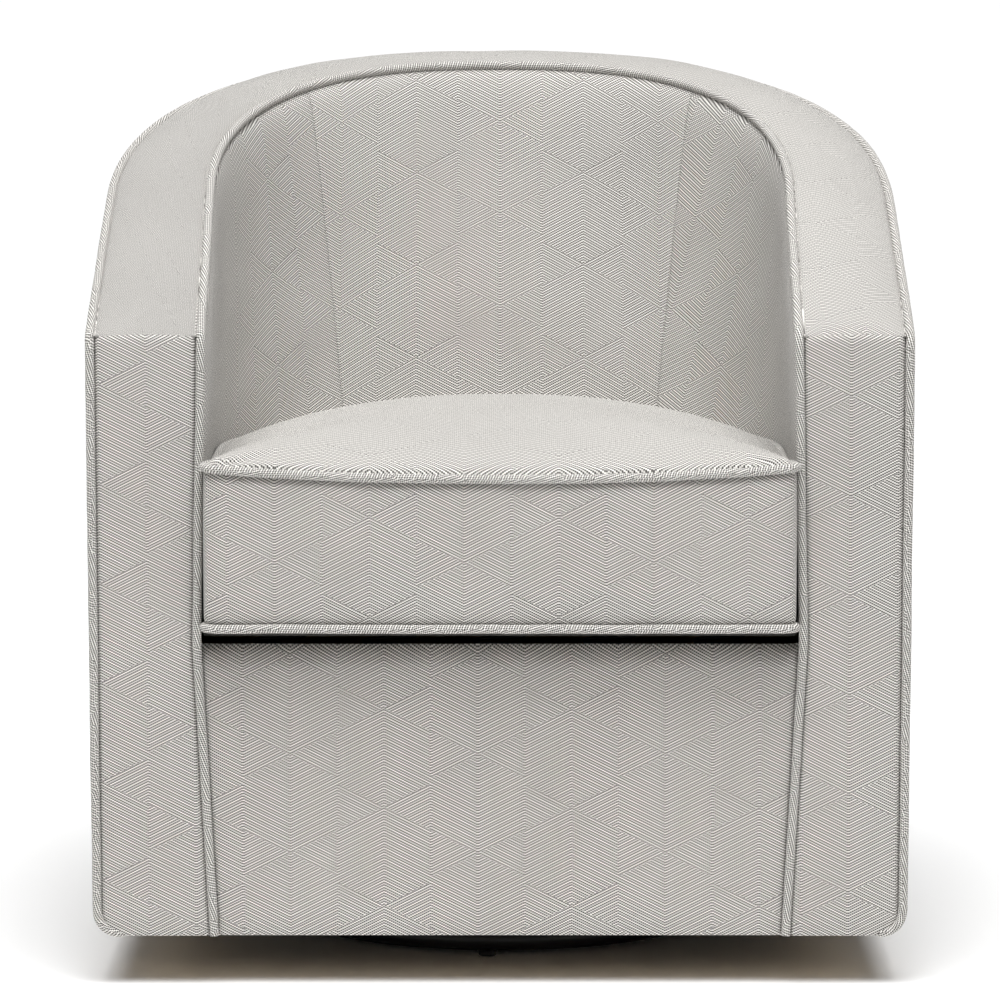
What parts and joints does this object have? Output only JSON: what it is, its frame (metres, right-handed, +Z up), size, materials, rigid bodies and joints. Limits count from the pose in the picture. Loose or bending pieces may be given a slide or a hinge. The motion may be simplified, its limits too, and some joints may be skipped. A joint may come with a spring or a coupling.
{
  "type": "glider nursery chair",
  "caption": "Barrel-backed upholstered swivel glider chair in a pale greige chevron weave with welted seams, on a black round swivel base.",
  "frame": {"origin": "on the floor, on the swivel axis, at the bottom centre of the chair", "axes": "+Z up, -Y to the front of the chair, +X to the sitter's left"},
  "size_m": [0.7636, 0.7582, 0.85],
  "materials": {
    "woven_fabric": "matte",
    "foam": "matte",
    "deck_felt": "matte",
    "dust_cloth": "matte",
    "zipper_nylon": "matte",
    "hardwood": "matte",
    "plywood": "matte",
    "black_steel": "satin",
    "zinc_steel": "satin",
    "spring_steel": "satin",
    "nylon": "matte"
  },
  "bodies": {
    "base": {"base_ring": "black_steel", "base_feet": "nylon", "base_bars": "black_steel", "lower_bearing_plate": "zinc_steel", "bearing_balls": "zinc_steel", "ball_cage": "nylon", "base_bolts": "zinc_steel"},
    "stage": {"upper_bearing_plate": "zinc_steel", "centre_hub": "zinc_steel", "stage_channel_front": "black_steel", "stage_channel_rear": "black_steel", "stage_upright_left": "black_steel", "stage_upright_right": "black_steel", "upper_pivot_pins": "zinc_steel", "stage_bolts": "zinc_steel"},
    "link_front_left": {"swing_link_front_left": "black_steel", "link_bushes_front_left": "nylon"},
    "link_front_right": {"swing_link_front_right": "black_steel", "link_bushes_front_right": "nylon"},
    "link_rear_left": {"swing_link_rear_left": "black_steel", "link_bushes_rear_left": "nylon"},
    "link_rear_right": {"swing_link_rear_right": "black_steel", "link_bushes_rear_right": "nylon"},
    "seat": {"glide_rail_left": "black_steel", "glide_rail_right": "black_steel", "lower_pivot_pins": "zinc_steel", "rail_bolts": "zinc_steel", "mounting_boards": "hardwood", "dust_cover": "dust_cloth", "seat_rail_front": "hardwood", "seat_rail_back": "hardwood", "seat_rail_left": "hardwood", "seat_rail_right": "hardwood", "corner_blocks": "hardwood", "front_posts": "hardwood", "back_posts": "hardwood", "bottom_frame": "plywood", "bottom_rail_front": "plywood", "arm_top_rail_left": "plywood", "arm_top_rail_right": "plywood", "back_top_rail": "plywood", "seat_springs": "spring_steel", "spring_clips": "zinc_steel", "deck_pad": "deck_felt", "outside_arm_left": "woven_fabric", "outside_arm_right": "woven_fabric", "outside_back": "woven_fabric", "inside_arm_left": "woven_fabric", "inside_arm_right": "woven_fabric", "inside_back": "woven_fabric", "top_band": "woven_fabric", "arm_front_left": "woven_fabric", "arm_front_right": "woven_fabric", "front_apron": "woven_fabric", "outer_welt": "woven_fabric", "inner_welt": "woven_fabric"},
    "cushion": {"cushion_cover": "woven_fabric", "cushion_core": "foam", "cushion_welts": "woven_fabric", "cushion_zipper": "zipper_nylon"}
  },
  "joints": [
    {"name": "swivel", "type": "hinge", "parent": "base", "child": "stage", "pos_m": [0, 0, 0.0345], "axis": [0, 0, 1], "continuous": true},
    {"name": "glide", "type": "hinge", "parent": "stage", "child": "link_front_left", "pos_m": [0.1595, -0.085, 0.185], "axis": [1, 0, 0], "range_deg": [-22, 22]},
    {"name": "swing_front_right", "type": "hinge", "parent": "stage", "child": "link_front_right", "pos_m": [-0.1595, -0.085, 0.185], "axis": [1, 0, 0], "range_deg": [-22, 22]},
    {"name": "swing_rear_left", "type": "hinge", "parent": "stage", "child": "link_rear_left", "pos_m": [0.1595, 0.085, 0.185], "axis": [1, 0, 0], "range_deg": [-22, 22]},
    {"name": "swing_rear_right", "type": "hinge", "parent": "stage", "child": "link_rear_right", "pos_m": [-0.1595, 0.085, 0.185], "axis": [1, 0, 0], "range_deg": [-22, 22]},
    {"name": "seat_level", "type": "hinge", "parent": "link_front_left", "child": "seat", "pos_m": [0.1595, -0.085, 0.075], "axis": [1, 0, 0], "range_deg": [-22, 22]},
    {"name": "cushion_lift", "type": "slide", "parent": "seat", "child": "cushion", "axis": [0, 0, 1], "range_m": [0, 0.55]}
  ],
  "couplings": [
    {"joint": "swing_front_right", "follows": "glide", "ratio": 1},
    {"joint": "swing_rear_left", "follows": "glide", "ratio": 1},
    {"joint": "swing_rear_right", "follows": "glide", "ratio": 1},
    {"joint": "seat_level", "follows": "glide", "ratio": -1}
  ]
}
